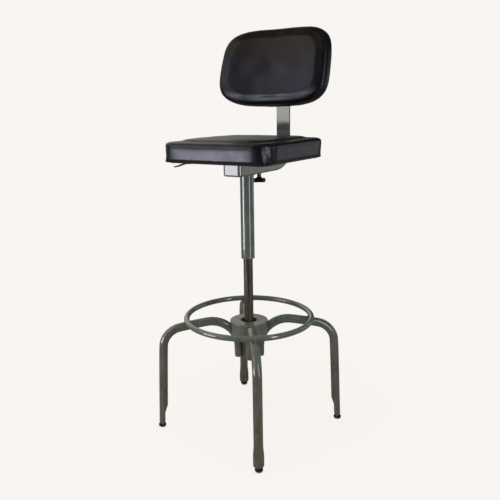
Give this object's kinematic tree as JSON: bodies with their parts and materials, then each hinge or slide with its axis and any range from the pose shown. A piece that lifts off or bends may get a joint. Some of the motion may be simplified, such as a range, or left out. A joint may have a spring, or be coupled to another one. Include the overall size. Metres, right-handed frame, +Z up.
{
  "type": "drafting stool",
  "caption": "Tall drafting stool with a padded square seat, padded backrest on a bent strap, splayed bent-tube legs and a foot ring.",
  "frame": {"origin": "on the floor under the column's axis, which is the centre of the base", "axes": "+Z up along the column, -Y towards the front of the seat, +X to the sitter's left"},
  "size_m": [0.4456, 0.4518, 1.1501],
  "materials": {
    "green_grey_enamel": "baked grey-green enamel, semi-gloss",
    "hub_enamel": "baked grey-green enamel, lighter and duller",
    "worn_steel": "drawn steel tube with worn grey-green paint and brown rub marks",
    "black_vinyl": "black vinyl upholstery, light grain",
    "black_plastic": "moulded black phenolic",
    "black_rubber": "moulded black rubber",
    "nickel_plate": "nickel-plated pressed steel",
    "zinc_steel": "zinc-plated steel",
    "nylon": "moulded nylon",
    "plywood": "unfinished plywood",
    "black_board": "black fibreboard back"
  },
  "bodies": {
    "base": {"hub_drum": "hub_enamel", "hub_sleeve": "green_grey_enamel", "post": "worn_steel", "foot_ring": "green_grey_enamel", "leg_front": "green_grey_enamel", "leg_right": "green_grey_enamel", "leg_back": "green_grey_enamel", "leg_left": "green_grey_enamel", "glide_front": "nickel_plate", "glide_right": "nickel_plate", "glide_back": "nickel_plate", "glide_left": "nickel_plate", "foot_pad_front": "black_rubber", "foot_pad_right": "black_rubber", "foot_pad_back": "black_rubber", "foot_pad_left": "black_rubber"},
    "height_lock": {"lock_collar": "zinc_steel", "thrust_washer": "nylon"},
    "seat": {"column_tube": "green_grey_enamel", "lower_bush": "nylon", "upper_bush": "nylon", "seat_channel": "green_grey_enamel", "strap_saddle": "green_grey_enamel", "seat_board": "plywood", "seat_cushion": "black_vinyl", "seat_screw_1": "zinc_steel", "seat_screw_2": "zinc_steel", "seat_screw_3": "zinc_steel", "seat_screw_4": "zinc_steel", "lever_bolt": "zinc_steel"},
    "lever": {"height_lever": "green_grey_enamel"},
    "seat_clamp": {"seat_knob": "black_plastic", "seat_knob_stud": "zinc_steel"},
    "strap": {"back_strap": "green_grey_enamel"},
    "slide": {"back_slide": "green_grey_enamel", "back_hinge_pin": "zinc_steel"},
    "backrest": {"back_cushion": "black_vinyl", "back_board": "black_board", "back_hinge_bracket": "green_grey_enamel", "back_bracket_screw_1": "zinc_steel", "back_bracket_screw_2": "zinc_steel", "back_bracket_screw_3": "zinc_steel", "back_bracket_screw_4": "zinc_steel"},
    "back_clamp": {"back_knob": "black_plastic", "back_knob_stud": "zinc_steel"}
  },
  "joints": [
    {"name": "seat_height", "type": "slide", "parent": "base", "child": "height_lock", "axis": [0, 0, 1], "range_m": [-0.15, 0.025]},
    {"name": "seat_swivel", "type": "hinge", "parent": "height_lock", "child": "seat", "pos_m": [0, 0, 0.7522], "axis": [0, 0, 1], "continuous": true},
    {"name": "height_lever", "type": "hinge", "parent": "seat", "child": "lever", "pos_m": [-0.04, -0.033, 0.785], "axis": [0, 0, 1], "range_deg": [-25, 0], "stiffness_Nm_per_rad": 0.5},
    {"name": "seat_clamp_turn", "type": "hinge", "parent": "seat", "child": "seat_clamp", "pos_m": [0, 0.0645, 0.7525], "axis": [0, 0, 1], "range_deg": [-360, 0]},
    {"name": "back_depth", "type": "slide", "parent": "seat", "child": "strap", "axis": [0, 1, 0], "range_m": [-0.03, 0.03]},
    {"name": "back_height", "type": "slide", "parent": "strap", "child": "slide", "axis": [0, 0, 1], "range_m": [-0.04, 0.008]},
    {"name": "back_tilt", "type": "hinge", "parent": "slide", "child": "backrest", "pos_m": [0, 0.196, 1], "axis": [1, 0, 0], "range_deg": [-6, 14]},
    {"name": "back_clamp_turn", "type": "hinge", "parent": "slide", "child": "back_clamp", "pos_m": [0, 0.2108, 1], "axis": [0, 1, 0], "range_deg": [0, 360]}
  ]
}
